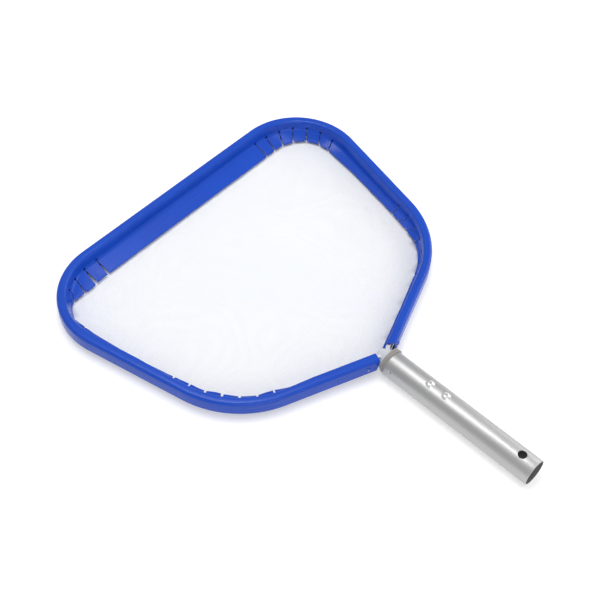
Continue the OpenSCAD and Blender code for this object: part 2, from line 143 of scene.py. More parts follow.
class SkimmerColours(bpy.types.PropertyGroup):
    """Base colours of the finishes"""

    guard: colour("Guard", (0.008, 0.068, 0.49), "Blue plastic of the edge guard")
    guard_deep: colour("Guard, deep", (0.007, 0.060, 0.45), "Darker drift in the guard's blue")
    # Partly the whitening of the cut plastic, and partly a painted highlight where the cut walls catch the light
    cut: colour("Cut plastic", (0.34, 0.40, 0.74), "Paler blue where the guard was slit")
    net: colour("Net", (0.94, 0.945, 0.965), "Net yarn")
    net_cool: colour("Net, cool", (0.90, 0.93, 0.965), "Cooler drift in the net's white")
    tape: colour("Tape", (0.78, 0.80, 0.84), "Woven tape of the hem")
    cord: colour("Cord", (0.80, 0.81, 0.82), "Extruded cord")
    tube: colour("Tube", (0.475, 0.476, 0.477), "Anodised aluminium")
    # Painted shade: this dark colour on the tube's inner face stands in for the shade inside the tube
    bore_shade: colour("Bore", (0.20, 0.20, 0.20), "Dull inside of the tube")
    rivet: colour("Rivet", (0.80, 0.80, 0.80), "Bright rivets on the tube")
    bar: colour("Bar", (0.62, 0.63, 0.65), "Mill aluminium")
    steel: colour("Steel", (0.5, 0.5, 0.51), "Rivet stems and pins")
    collar: colour("Collar", (0.29, 0.275, 0.265), "Grey plastic of the collar")
    plug: colour("Plug", (0.62, 0.66, 0.70), "Pale plastic of the plug")
    floor: colour("Floor", (0.86, 0.86, 0.86), "Floor")


def head():
    return bpy.context.scene.skimmer_head


def neck():
    return bpy.context.scene.skimmer_neck


def tints():
    return bpy.context.scene.skimmer_colours


# -------- how the guard was cut and bent

# How far each corner's slits sit from their even places
SLIT_SHIFT = {(FRONT, RIGHT): 2 * MM, (FRONT, LEFT): -3.2 * MM, (REAR, RIGHT): 8.5 * MM, (REAR, LEFT): 0.3 * MM}
# Spacing of the left rear corner's slits, over the even one
WIDE_PITCH = 1.076
# Rear slits start up on the wall before this place, and near the flange past it
LOW_SLITS = 425 * MM
# Length of a slit's cutter
SLIT_LEN = 34 * MM
# Least and greatest tilt of the fingers between two slits, in degrees
FINGER_TILT = {(FRONT, RIGHT): (0, 5), (FRONT, LEFT): (0, 7), (REAR, RIGHT): (0, 4), (REAR, LEFT): (-3, 6)}
# How far each end of the guard is cut back: at its inner wall, and at its outer face's top and bottom
END_CUT = {LEFT: (0.6 * MM, 0, 3 * MM), RIGHT: (1.6 * MM, 6.5 * MM, 11.5 * MM)}
# Flange reach in the guard's section, before each place gets its own
NOMINAL_REACH = 20 * MM
# Least reach of the flange past the inner wall
LEAST_FLANGE = 3.4 * MM
# Where the fingers hinge, past the inner wall
HINGE = 2.6 * MM
# How far the inner wall's top is drawn back, where it is
WALL_LEAN = 1.3 * MM


def swell(s, middle, half):
    """Smooth swell of 1 in its middle, 0 from half on; places in millimetres."""
    t = (s / MM - middle) / half
    return cos(pi / 2 * t) ** 2 if abs(t) < 1 else 0.0


def rise(s, lo, hi):
    """Smooth step from 0 at lo to 1 at hi; places in millimetres."""
    t = min(1.0, max(0.0, (s / MM - lo) / (hi - lo)))
    return t * t * (3 - 2 * t)


def bent(s, start, rises=(), swells=()):
    """Start, plus steps (height, lo, hi), plus swells (height, middle, half); all in millimetres."""
    steps = sum(height * rise(s, lo, hi) for height, lo, hi in rises)
    humps = sum(height * swell(s, middle, half) for height, middle, half in swells)
    return (start + steps + humps) * MM


def root_lift(s, side):
    """Height of the flange's root over its foot: it slopes along the front and climbs the wall round the corners."""
    front = bent(s, 4.7, [(-3.7, 205, 265)], [(5, 200, 60)])
    climb = [(7.5, 330, 360)] if side == LEFT else [(1.5, 330, 360), (4.5, 405, 430)]
    return (front + bent(s, 0, climb) * (1 - rise(s, 475, 505))) * (1 - rise(s, 480, 540))


def tip_lift(s, side):
    """Height of the fingers' tips: those of the rear corners stand up."""
    if side == LEFT:
        return bent(s, 0, [(7.5, 330, 360)]) * (1 - rise(s, 470, 492))
    return bent(s, 0, [(0.6, 330, 360), (4.4, 405, 445)]) * (1 - rise(s, 476, 495))


def tip_shift(s, side):
    """How much shorter or longer the fingers reach where the bend has pushed them."""
    if side == LEFT:
        rises = [(-1.5, 250, 275), (-1.3, 335, 350), (0.5, 360, 400)]
        rises += [(3.8, 382, 408), (2.4, 438, 474), (-2.8, 478, 492)]
        return bent(s, 0, rises, [(2.2, 152, 30), (-10.5, 187, 55), (-1.2, 214, 24)])
    rises = [(-0.5, 140, 160), (-0.7, 300, 322), (1.5, 365, 388), (-2.2, 452, 470)]
    return bent(s, -0.1, rises, [(-0.7, 196, 24), (2.7, 246, 40), (-4.4, 438, 36)])


def wall_lean(s, side):
    """How far the inner wall's top is drawn back here."""
    if side == LEFT:
        return WALL_LEAN * (1 - rise(s, 225, 250) + rise(s, 325, 345) * (1 - rise(s, 478, 492)))
    return WALL_LEAN


def tip_skew(s, side):
    """How far the fingers lean along the channel."""
    return bent(s, 0, swells=[(12, 163, 48)] if side == LEFT else [(4, 225, 45), (-7, 395, 40)])


def end_cut(u, z, side):
    """How far the guard's end is cut back, askew."""
    h = head()
    inner, top, low = END_CUT[side]
    outer = low + (top - low) * (z - h.bead_low) / (h.bead_top - h.bead_low)
    return outer + (inner - outer) * min(1.0, u / h.bead_w)


# -------- outline of the head


def fillet(a, b, c, r):
    """Centre of the fillet of radius r in the corner at b."""
    u, w = (a - b).normalized(), (c - b).normalized()
    return b + (u + w).normalized() * r / sin(acos(u.dot(w)) / 2)


def crossing(p, d, q, e):
    """Meeting point of the line through p along d and the line through q along e."""
    return p + d * ((q.x - p.x) * e.y - (q.y - p.y) * e.x) / (d.x * e.y - d.y * e.x)


def facing(a, b):
    """Angle of the outward side of the edge from a to b."""
    return atan2(b.x - a.x, a.y - b.y)


def turned(a):
    return Vector((cos(a), sin(a)))


class Outline:
    """Right half of the head's outer face: front edge, front corner, side, rear corner, arm."""

    def __init__(self):
        h = head()
        self.edge = [
            Vector((0, h.neck_y + h.head_len)),
            Vector((h.front_w / 2, h.neck_y + h.head_len)),
            Vector((h.rear_w / 2, h.neck_y + h.rear_rise)),
            Vector((0, h.neck_y)),
        ]
        f, b, r, n = self.edge
        self.side, self.arm = (r - b).normalized(), (r - n).normalized()
        self.side_in, self.arm_in = Vector((self.side.y, -self.side.x)), Vector((-self.arm.y, self.arm.x))
        self.a1, self.a2 = facing(b, r), facing(r, n)
        self.c1, self.c2 = fillet(f, b, r, h.front_r), fillet(b, r, n, h.rear_r)
        self.r1, self.r2 = h.front_r, h.rear_r
        self.mid = h.bead_w / 2
        self.t1 = self.c1 + turned(self.a1) * self.r1
        self.t2 = self.c2 + turned(self.a1) * self.r2
        self.t3 = self.c2 + turned(self.a2) * self.r2
        self.end = n + self.arm * (h.guard_end_x / self.arm.x)
        spans = [
            self.c1.x,
            (self.r1 - self.mid) * (pi / 2 - self.a1),
            (self.t2 - self.t1).length,
            (self.r2 - self.mid) * (self.a1 - self.a2),
            (self.t3 - self.end).length,
        ]
        self.marks = [sum(spans[:i]) for i in range(6)]
        self.cache = {}

    def at(self, s):
        """Outer face and inward direction at the place s along the channel."""
        m = self.marks
        if s <= m[1]:
            return Vector((s, self.edge[0].y)), Vector((0, -1))
        if s <= m[2]:
            out = turned(pi / 2 - (s - m[1]) / (self.r1 - self.mid))
            return self.c1 + out * self.r1, -out
        if s <= m[3]:
            return self.t1 + self.side * (s - m[2]), self.side_in
        if s <= m[4]:
            out = turned(self.a1 - (s - m[3]) / (self.r2 - self.mid))
            return self.c2 + out * self.r2, -out
        return self.t3 - self.arm * (s - m[4]), self.arm_in

    def point(self, s, u):
        """Point at the place s, the distance u in from the outer face."""
        p, d = self.at(s)
        return p + d * u

    def locate(self, x, y):
        """Place along the channel and distance in from the outer face."""
        p, m = Vector((abs(x), y)), self.marks
        if p.x <= self.c1.x and p.y > self.c1.y:
            return p.x, self.edge[0].y - p.y
        d = p - self.c1
        a = atan2(d.y, d.x)
        if self.a1 <= a <= pi / 2:
            return m[1] + (pi / 2 - a) * (self.r1 - self.mid), self.r1 - d.length
        t = (p - self.t1).dot(self.side)
        if t <= m[3] - m[2]:
            return m[2] + t, (p - self.t1).dot(self.side_in)
        d = p - self.c2
        a = atan2(d.y, d.x)
        if self.a2 <= a:
            return m[3] + (self.a1 - a) * (self.r2 - self.mid), self.r2 - d.length
        return m[4] + (self.t3 - p).dot(self.arm), (p - self.t3).dot(self.arm_in)

    def slits(self, corner, side):
        """Places of the slits of one corner."""
        h, m = head(), self.marks
        middle = (m[1] + m[2]) / 2 if corner == FRONT else (m[3] + m[4]) / 2
        pitch = self.pitch(corner, side)
        start = middle - h.slit_lead + SLIT_SHIFT[corner, side] - (h.slit_count - 1) / 2 * pitch
        return [start + i * pitch for i in range(h.slit_count)]

    def pitch(self, corner, side):
        """Distance between the slits of one corner."""
        return head().slit_pitch * (WIDE_PITCH if (corner, side) == (REAR, LEFT) else 1)

    def corner_of(self, s):
        return FRONT if s < (self.marks[2] + self.marks[3]) / 2 else REAR

    def opening(self):
        """Right half of the flange's inner edge."""
        h, (f, b, r, n) = head(), self.edge
        s, t = b + self.side_in * h.flange_side, r + self.side_in * h.flange_rear
        a, f = n + self.arm_in * h.flange_arm, f - Vector((0, h.flange_front))
        d = (t - s).normalized()
        v1 = crossing(f, Vector((1, 0)), s, d)
        v2, v3 = crossing(s, d, a, self.arm), crossing(a, self.arm, Vector((0, 0)), Vector((0, 1)))
        a1, a2 = facing(v1, v2), facing(v2, v3)
        c1, c2 = fillet(f, v1, v2, h.open_front_r), fillet(v1, v2, v3, h.open_rear_r)
        line = [f]
        for c, r, start, stop in ((c1, h.open_front_r, pi / 2, a1), (c2, h.open_rear_r, a1, a2)):
            line += [c + turned(start + (stop - start) * i / 24) * r for i in range(25)]
        return line + [v3]

    def ray(self, s, line):
        """Distance from the outer face to a line, straight in at the place s."""
        o, d = self.at(s)
        best = None
        for p, q in zip(line, line[1:]):
            e = q - p
            across = d.x * e.y - d.y * e.x
            if abs(across) < PARALLEL:
                continue
            w = p - o
            u = (w.x * e.y - w.y * e.x) / across
            v = (w.x * d.y - w.y * d.x) / across
            if -WELD <= v <= 1 + WELD and u > 0 and (best is None or u < best):
                best = u
        return best

    def reach(self, s, side):
        """Flange reach at s: straight from slit to slit within a corner."""
        key = (round(s, 6), side)
        if key not in self.cache:
            line, corner = self.opening(), self.corner_of(s)
            cuts = self.slits(corner, side)
            if cuts[0] < s < cuts[-1]:
                i = min(int((s - cuts[0]) / self.pitch(corner, side)), len(cuts) - 2)
                line = [self.point(c, self.ray(c, line)) for c in cuts[i : i + 2]]
            got = self.ray(s, line)
            if got is None:
                got = head().flange_arm
            self.cache[key] = max(head().bead_w + LEAST_FLANGE, got + tip_shift(s, side))
        return self.cache[key]


# -------- meshes


def arc(cx, cz, r, a0, a1, n):
    """Points on an arc in a section, angles in degrees."""
    turns = [radians(a0 + (a1 - a0) * i / n) for i in range(n + 1)]
    return [(cx + r * cos(a), cz + r * sin(a)) for a in turns]


def everything(bm):
    return bm.verts[:] + bm.edges[:] + bm.faces[:]


def open_edges(bm):
    return [e for e in bm.edges if len(e.link_faces) == 1]


def heading(d, side):
    """Turn from +X to the direction d, on the given side."""
    return Matrix.Rotation(atan2(d.y, d.x * side), 4, "Z")


def drill(radius, depth, segments, matrix):
    """Round cutter, along its own Z."""
    bm = bmesh.new()
    bmesh.ops.create_cone(
        bm, cap_ends=True, segments=segments, radius1=radius, radius2=radius, depth=depth, matrix=matrix
    )
    return bm


def sweep(profile, front_steps=44, rear_steps=36):
    """Runs a closed section of (distance in, height) round the whole head, from arm's end to arm's end."""
    o = Outline()
    bm = bmesh.new()
    ring = [bm.verts.new((0, o.edge[0].y - u, z)) for u, z in profile]
    edges = [bm.edges.new((ring[i - 1], ring[i])) for i in range(len(ring))]

    def run(move, steps):
        nonlocal edges
        for _ in range(steps):
            got = bmesh.ops.extrude_edge_only(bm, edges=edges)["geom"]
            edges = [g for g in got if isinstance(g, bmesh.types.BMEdge) and not g.link_faces[1:]]
            verts = {v for e in edges for v in e.verts}
            bmesh.ops.translate(bm, verts=list(verts), vec=(move / steps).to_3d())

    def bend(centre, angle, steps):
        nonlocal edges
        verts = list({v for e in edges for v in e.verts})
        got = bmesh.ops.spin(
            bm, geom=verts + edges, cent=centre.to_3d(), axis=(0, 0, 1), angle=angle, steps=steps, use_merge=False
        )["geom_last"]
        edges = [g for g in got if isinstance(g, bmesh.types.BMEdge)]

    run(Vector((o.c1.x, 0)), 3)
    bend(o.c1, o.a1 - pi / 2, front_steps)
    run(o.t2 - o.t1, 4)
    bend(o.c2, o.a2 - o.a1, rear_steps)
    run(o.end - o.t3, 3)
    bmesh.ops.mirror(bm, geom=everything(bm), axis="X", merge_dist=WELD)
    bmesh.ops.remove_doubles(bm, verts=bm.verts, dist=WELD)
    caps = bmesh.ops.holes_fill(bm, edges=open_edges(bm), sides=0)["faces"]
    bmesh.ops.triangulate(bm, faces=caps)
    bmesh.ops.recalc_face_normals(bm, faces=bm.faces)
    return bm, o


def lathe(profile, axis, steps=96):
    """Full turn of a section of (radius, height) round the Y or Z axis; an open one closes on the axis."""
    side = Vector((0, 0, 1)) if axis == "Y" else Vector((1, 0, 0))
    along = Vector((0, 1, 0)) if axis == "Y" else Vector((0, 0, 1))
    bm = bmesh.new()
    ring = [bm.verts.new(side * r + along * h) for r, h in profile]
    edges = [bm.edges.new(pair) for pair in zip(ring, ring[1:])]
    if profile[0][0] > WELD or profile[-1][0] > WELD:
        edges.append(bm.edges.new((ring[-1], ring[0])))
    bmesh.ops.spin(bm, geom=ring + edges, cent=(0, 0, 0), axis=along, angle=2 * pi, steps=steps, use_merge=True)
    bmesh.ops.remove_doubles(bm, verts=bm.verts, dist=WELD)
    bmesh.ops.recalc_face_normals(bm, faces=bm.faces)
    return bm


def made(bm, name, sharp=32):
    """Object from a bmesh, smooth but for its sharp edges."""
    mesh = bpy.data.meshes.new(name)
    bm.to_mesh(mesh)
    bm.free()
    obj = bpy.data.objects.new(name, mesh)
    bpy.context.scene.collection.objects.link(obj)
    smooth(obj, sharp)
    return obj


def smooth(obj, sharp=32):
    for face in obj.data.polygons:
        face.use_smooth = True
    obj.data.set_sharp_from_angle(angle=radians(sharp))


def new_cut(obj):
    """Exact boolean cut that hands on the cutter's finish."""
    mod = obj.modifiers.new("cut", "BOOLEAN")
    mod.operation, mod.solver, mod.material_mode = "DIFFERENCE", "EXACT", "TRANSFER"
    return mod


def applied(obj):
    """Makes the modifiers' result the object's own mesh."""
    bpy.context.view_layer.update()
    mesh = bpy.data.meshes.new_from_object(obj.evaluated_get(bpy.context.evaluated_depsgraph_get()))
    obj.modifiers.clear()
    old, obj.data = obj.data, mesh
    bpy.data.meshes.remove(old)


def cut(obj, cutters):
    """Cuts the cutters out of obj for good, one after the other, and removes them."""
    for cutter in cutters:
        new_cut(obj).object = cutter
    applied(obj)
    for cutter in cutters:
        bpy.data.objects.remove(cutter)


def cut_together(obj, cutters):
    """Cuts many cutters out of obj for good in one go, and removes them."""
    whole = bpy.data.collections.new("cutters")
    bpy.context.scene.collection.children.link(whole)
    for cutter in cutters:
        whole.objects.link(cutter)
    mod = new_cut(obj)
    mod.operand_type, mod.collection = "COLLECTION", whole
    applied(obj)
    for cutter in cutters:
        bpy.data.objects.remove(cutter)
    bpy.data.collections.remove(whole)


def joined(bms):
    """One bmesh from several."""
    mesh = bpy.data.meshes.new("join")
    out = bmesh.new()
    for bm in bms:
        bm.to_mesh(mesh)
        out.from_mesh(mesh)
        bm.free()
    bpy.data.meshes.remove(mesh)
    return out


def path_uv(obj, outline):
    """UV in metres: along the channel, and across the section."""
    layer = obj.data.uv_layers.new(name="path")
    co = obj.data.vertices
    spots = [outline.locate(v.co.x, v.co.y) for v in co]
    for loop in obj.data.loops:
        s, u = spots[loop.vertex_index]
        v = co[loop.vertex_index].co
        layer.data[loop.index].uv = (s if v.x >= 0 else -s, u - v.z)


def finish_piece(obj, material, node):
    """Material and body of a piece, and hides the node that it stands for."""
    if not obj.data.materials:
        obj.data.materials.append(material)
    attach(obj, "root")
    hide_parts(node)


# -------- finishes


def shade(tint, share):
    """A darker shade of a colour."""
    return tuple(share * x for x in tint)


class Nodes:
    """Short way to write a material's nodes."""

    def __init__(self, name):
        self.material = bpy.data.materials.new(name)
        self.material.use_nodes = True
        self.tree = self.material.node_tree
        self.shader = self.tree.nodes["Principled BSDF"]

    def feed(self, target, x):
        """Gives an input a socket, a colour or another value."""
        if isinstance(x, bpy.types.NodeSocket):
            self.tree.links.new(x, target)
        elif x is not None:
            target.default_value = (*x, 1) if target.type == "RGBA" else x

    def new(self, kind, *values, **settings):
        """Node with its inputs in order, and its settings; those that start with in_ are inputs too."""
        node = self.tree.nodes.new(kind)
        for key, value in settings.items():
            if key.startswith("in_"):
                self.feed(node.inputs[key[3:].replace("_", " ")], value)
            else:
                setattr(node, key, value)
        for target, value in zip(node.inputs, values):
            self.feed(target, value)
        return node

    def place(self, uv=False, scale=(1, 1, 1), turn=(0, 0, 0)):
        """Object or UV coordinates through a mapping."""
        spot = self.new("ShaderNodeTexCoord").outputs["UV" if uv else "Object"]
        return self.new("ShaderNodeMapping", in_Vector=spot, in_Scale=scale, in_Rotation=turn).outputs["Vector"]

    def noise(self, fineness, detail, rough, **place):
        """Noise in object or UV coordinates."""
        spot = self.place(**place)
        node = self.new("ShaderNodeTexNoise", in_Vector=spot, in_Scale=fineness, in_Detail=detail, in_Roughness=rough)
        return node.outputs["Fac"]

    def ramp(self, value, low, high, to_low=0.0, to_high=1.0):
        """The value from low to high, brought to another range and held within it."""
        limits = {"in_From_Min": low, "in_From_Max": high, "in_To_Min": to_low, "in_To_Max": to_high}
        return self.new("ShaderNodeMapRange", in_Value=value, **limits).outputs["Result"]

    def math(self, operation, *values):
        return self.new("ShaderNodeMath", *values, operation=operation).outputs[0]

    def split(self, where):
        return self.new("ShaderNodeSeparateXYZ", where).outputs

    def mix(self, factor, a, b):
        """Colour between a and b, each a colour or a socket."""
        node = self.new("ShaderNodeMix", data_type="RGBA")
        for i, x in ((0, factor), (6, a), (7, b)):
            self.feed(node.inputs[i], x)
        return node.outputs[2]

    def mottled(self, value, tint, other):
        """The tint, with another where the pattern's value is high."""
        return self.mix(self.ramp(value, 0.3, 0.7), tint, other)

    def bump(self, height, strength, distance, under=None):
        node = self.new("ShaderNodeBump", in_Strength=strength, in_Distance=distance, in_Height=height, in_Normal=under)
        return node.outputs["Normal"]

    def set(self, **values):
        """Sockets or numbers for the shader's inputs; the material."""
        for key, value in values.items():
            self.feed(self.shader.inputs[key.replace("_", " ")], value)
        return self.material

    def join(self, kind, *values):
        """Joins shaders into the material's surface; the material."""
        self.feed(self.tree.nodes["Material Output"].inputs["Surface"], self.new(kind, *values).outputs[0])
        return self.material

    def speckled(self, spots, tint, other, fine, rough, strength, distance, **more):
        """A mottled colour, and a fine pattern in the roughness and the relief; the material."""
        return self.set(
            Base_Color=self.mottled(spots, tint, other),
            Roughness=self.ramp(fine, 0.3, 0.7, *rough),
            Normal=self.bump(fine, strength, distance),
            **more,
        )


def blue_plastic():
    n, c = Nodes("blue_plastic"), tints()
    drift = n.noise(14, 3, 0.6)
    drawn = n.noise(1, 3, 0.6, uv=True, scale=(6, 900, 1))
    grain = n.noise(1400, 2, 0.6)
    return n.set(
        Base_Color=n.mix(n.ramp(drift, 0.35, 0.65), c.guard, c.guard_deep),
        Roughness=n.ramp(n.math("ADD", drift, drawn), 0.6, 1.4, 0.2, 0.3),
        Normal=n.bump(drawn, 0.12, 0.00006, n.bump(grain, 0.08, 0.00005)),
        Specular_IOR_Level=0.25,
    )


# Finish of the cut walls: the paler blue is partly stress whitening and partly a painted highlight
def cut_whitening_and_highlight():
    n, c = Nodes("cut_whitening_and_highlight"), tints()
    rough = n.noise(2500, 3, 0.7, scale=(1, 1, 0.2))
    return n.set(
        Base_Color=n.mottled(rough, c.cut, c.guard),
        Roughness=0.6,
        Normal=n.bump(rough, 0.3, 0.00008),
    )


def blue_paint():
    n, c = Nodes("blue_paint"), tints()
    speck = n.noise(900, 3, 0.6)
    return n.speckled(speck, c.guard, c.guard_deep, speck, (0.22, 0.32), 0.1, 0.00005)


def aluminium(name, tint, axis_scale, roughness):
    """Bright metal with fine drawn lines; the stretched axis has the small scale."""
    n = Nodes(name)
    lines = n.noise(1, 4, 0.65, scale=axis_scale)
    cloud = n.noise(22, 3, 0.6)
    scuffs = n.noise(160, 5, 0.75, scale=(1, 0.4, 1))
    worn = n.math("MULTIPLY", n.ramp(scuffs, 0.62, 0.75), 0.06)
    n.set(
        Base_Color=n.mix(n.ramp(cloud, 0.3, 0.7, 0, 0.35), tint, shade(tint, 0.88)),
        Metallic=1.0,
        Roughness=n.math("ADD", n.ramp(lines, 0.3, 0.7, roughness - 0.05, roughness + 0.05), worn),
        Normal=n.bump(lines, 0.05, 0.00003),
    )
    return n


def tube_aluminium():
    """Drawn tube: bright outside; its inner face is painted dark as shade, and left duller."""
    c, size = tints(), neck()
    n = aluminium("drawn_aluminium", tuple(c.tube), (900, 6, 900), 0.47)
    spot = n.split(n.place())
    squares = [n.math("MULTIPLY", spot[axis], spot[axis]) for axis in "XZ"]
    radius = n.math("SQRT", n.math("ADD", *squares))
    # Mask of the tube's inner face, where painted shade darkens the colour and the finish is rougher
    inside = n.ramp(radius, size.seat_r + 0.3 * MM, size.seat_r + 0.1 * MM)
    bright, rough = (n.shader.inputs[key].links[0].from_socket for key in ("Base Color", "Roughness"))
    return n.set(
        Base_Color=n.mix(inside, bright, tuple(c.bore_shade)),
        Roughness=n.math("ADD", rough, n.math("MULTIPLY", inside, 0.25)),
    )


def steel():
    n, c = Nodes("steel"), tints()
    mottle = n.noise(1200, 3, 0.6)
    return n.speckled(mottle, c.steel, shade(c.steel, 0.8), mottle, (0.32, 0.48), 0.15, 0.00004, Metallic=1.0)


def moulded(name, tint, roughness):
    n = Nodes(name)
    cloud = n.noise(60, 3, 0.6)
    grain = n.noise(1800, 2, 0.6)
    return n.speckled(cloud, tint, shade(tint, 0.9), grain, (roughness - 0.05, roughness + 0.07), 0.12, 0.00006)


def woven(n, where, pitch, duty):
    """Plain weave: height of the yarns and their cover, from two crossed waves."""
    spot = n.split(where)
    across, along = (n.math("SINE", n.math("MULTIPLY", spot[axis], 2 * pi / pitch)) for axis in "XY")
    edge = cos(pi * duty)
    cover = n.math("MAXIMUM", n.math("GREATER_THAN", across, edge), n.math("GREATER_THAN", along, edge))
    return n.math("MAXIMUM", across, along), cover


# Pitch of each weave
NET_PITCH, TAPE_PITCH = 1.2 * MM, 0.7 * MM


def net_cloth():
    n, c = Nodes("net_cloth"), tints()
    height, cover = woven(n, n.place(turn=(0, 0, radians(8))), NET_PITCH, 0.6)
    # Painted moiré shade: faint darker swirling lines in the net's white, not a colour of the yarn
    moire_shade_swirl = n.noise(4.5, 2.5, 0.45)
    lines = n.ramp(n.math("SINE", n.math("MULTIPLY", moire_shade_swirl, 260)), -1, 1, 0, 0.5)
    drift = n.mix(n.ramp(n.noise(5, 2, 0.5), 0.4, 0.6), c.net, c.net_cool)
    n.set(
        Base_Color=n.mix(lines, drift, shade(c.net, 0.96)),
        Roughness=0.7,
        Normal=n.bump(height, 0.4, 0.0003),
        Sheen_Weight=0.15,
    )
    # The gaps between the yarns are clear in part
    shown = n.math("MAXIMUM", cover, 0.45)
    clear = n.new("ShaderNodeBsdfTransparent")
    return n.join("ShaderNodeMixShader", shown, clear.outputs[0], n.shader.outputs[0])


def tape_cloth():
    n, c = Nodes("tape_cloth"), tints()
    height, _ = woven(n, n.place(uv=True), TAPE_PITCH, 0.5)
    fuzz = n.noise(900, 4, 0.7)
    return n.set(
        Base_Color=n.mottled(fuzz, c.tape, shade(c.tape, 0.88)),
        Roughness=0.85,
        Normal=n.bump(height, 0.6, 0.0002, n.bump(fuzz, 0.2, 0.0001)),
        Sheen_Weight=0.2,
    )


def cord_vinyl():
    n, c = Nodes("cord_vinyl"), tints()
    grain = n.noise(1, 3, 0.6, uv=True, scale=(300, 2500, 1))
    return n.speckled(grain, c.cord, shade(c.cord, 0.92), grain, (0.4, 0.55), 0.2, 0.00008)


# -------- pieces


def guard_section():
    """Section of the guard, from its lip round the outer face, over the flange and back through the hollow."""
    h = head()
    w, t, top, low = h.bead_w, h.wall, h.bead_top, h.bead_low
    inner, flange = w - t, low + h.flange_t
    tip, nose = NOMINAL_REACH, 0.8 * MM
    groove = inner + h.rib_t / 2
    rib, far = low - h.rib_h, groove + 3 * MM
    soft, heel = 1 * MM, h.heel_r - t
    # A fin under the channel's top holds the bar away from the outer wall
    fin, fin_low = 3.8 * MM, 4.85 * MM
    p = arc(h.heel_r, low + h.heel_r, h.heel_r, 270, 180, 8)
    p += arc(h.crown_r, top - h.crown_r, h.crown_r, 180, 90, 8)
    p += arc(w - h.shoulder_r, top - h.shoulder_r, h.shoulder_r, 90, 0, 5)
    p += arc(w + h.root_r, flange + h.root_r, h.root_r, 180, 270, 6)
    p += arc(tip - nose, flange - nose, nose, 90, 0, 3)
    p += arc(tip - nose, low + nose, nose, 0, -90, 3)
    p += [(far + h.rib_t, low), (far + h.rib_t, rib), (far, rib), (far, low)]
    p += [(groove, low), (groove, rib), (groove - h.rib_t, rib), (groove - h.rib_t, flange), (inner, flange)]
    p += arc(inner - soft, top - t - soft, soft, 0, 90, 3)
    p += [(fin + h.rib_t, top - t), (fin + h.rib_t, fin_low), (fin, fin_low), (fin, top - t)]
    p += arc(t + soft, top - t - soft, soft, 90, 180, 3)
    p += arc(t + heel, low + t + heel, heel, 180, 270, 5)
    return [q for i, q in enumerate(p) if hypot(q[0] - p[i - 1][0], q[1] - p[i - 1][1]) > 1e-5]


def shape_flange(bm, o):
    """Gives the flange its reach and its slope, and the ends their cut."""
    h = head()
    root, edge_top = h.bead_w, h.bead_low + h.flange_t + h.root_r
    for v in bm.verts:
        s, u = o.locate(v.co.x, v.co.y)
        z = v.co.z
        side = RIGHT if v.co.x >= 0 else LEFT
        if s > o.marks[5] - 1 * MM:
            s -= end_cut(u, z, side)
            put(v, o, s, u, z, side)
        if z > edge_top + WELD and u > h.bead_w - h.shoulder_r - WELD:
            put(v, o, s, u - wall_lean(s, side) * (z - edge_top) / (h.bead_top - edge_top), z, side)
        if u < root - WELD or z > edge_top + WELD or z < h.bead_low - WELD:
            continue
        reach = o.reach(s, side)
        # The rounded tip moves as a whole, and what lies between it and the root takes a share
        if u > NOMINAL_REACH - 1.1 * MM:
            u = reach - (NOMINAL_REACH - u)
            z += tip_lift(s, side)
        elif z > h.bead_low + WELD or u > root + 2.5 * MM:
            share = (u - root) / (reach - root)
            z += root_lift(s, side) * (1 - share) + tip_lift(s, side) * share
        put(v, o, s, u, z, side)


def put(v, o, s, u, z, side):
    """Moves a vertex to its place along the channel, its distance in and its height."""
    p = o.point(s, u)
    v.co = (p.x * side, p.y, z)


def slit_start(corner, side, s):
    """Where a slit starts: the hole's distance in, its height and its tilt, and the slit's own distance in."""
    h = head()
    high = h.bead_low + h.flange_t + root_lift(s, side) + 0.9 * MM
    in_wall = h.bead_w - h.wall - 0.4 * MM
    if corner == REAR and s < LOW_SLITS:
        return h.bead_w, 0.0, pi / 2, in_wall
    if corner == REAR and side == RIGHT:
        return h.bead_w, high + 2.2 * MM, pi / 2, in_wall
    return 12 * MM, high, pi / 4, 12 * MM


def slit_width(corner, side, i):
    """Width of a corner's slit number i."""
    if corner == FRONT:
        return head().slit_w * (1.35 if side == LEFT and i < 2 else 1)
    return head().slit_w * (1.6 if side == LEFT else 0.8)


def slit_cutters(o):
    """A punched hole, a straight slit and a notch at each place, in this order."""
    h = head()
    parts = []
    low = h.bead_low - h.rib_h - 1 * MM
    places = [(corner, side) for corner in (FRONT, REAR) for side in (LEFT, RIGHT)]
    places = [(*place, i, s) for place in places for i, s in enumerate(o.slits(*place))]
    for corner, side, i, s in places:
        p, d = o.at(s)
        root, high, tilt, start = slit_start(corner, side, s)
        c, m = p + d * root, p + d * (start + SLIT_LEN / 2)
        at = Matrix.Translation((c.x * side, c.y, high)) @ heading(d, side) @ Matrix.Rotation(tilt, 4, "Y")
        bm = bmesh.new()
        far_end = [v for v in bmesh.ops.create_cube(bm, size=1)["verts"] if v.co.x > 0]
        bmesh.ops.scale(bm, verts=far_end, vec=(1, h.slit_flare, 1))
        place = Matrix.Translation((m.x * side, m.y, (low + high) / 2)) @ heading(d, side)
        size = Matrix.Diagonal((SLIT_LEN, slit_width(corner, side, i), high - low, 1))
        bmesh.ops.transform(bm, verts=bm.verts, matrix=place @ size)
        parts += [drill(h.slit_hole / 2, 7 * MM, 20, at), bm, notch_cutter(o, s, side)]
    return parts


def notch_cutter(o, s, side):
    """Cuts the corners off two fingers where a slit runs out."""
    p, d = o.at(s)
    c = p + d * (o.reach(s, side) + 0.5 * MM)
    wide, high = 2.6 * MM, 12 * MM
    place = Matrix.Translation((c.x * side, c.y, -high / 2)) @ heading(d, side) @ Matrix.Rotation(pi / 4, 4, "Z")
    bm = bmesh.new()
    bmesh.ops.create_cube(bm, size=1, matrix=place @ Matrix.Diagonal((wide, wide, high, 1)))
    return bm


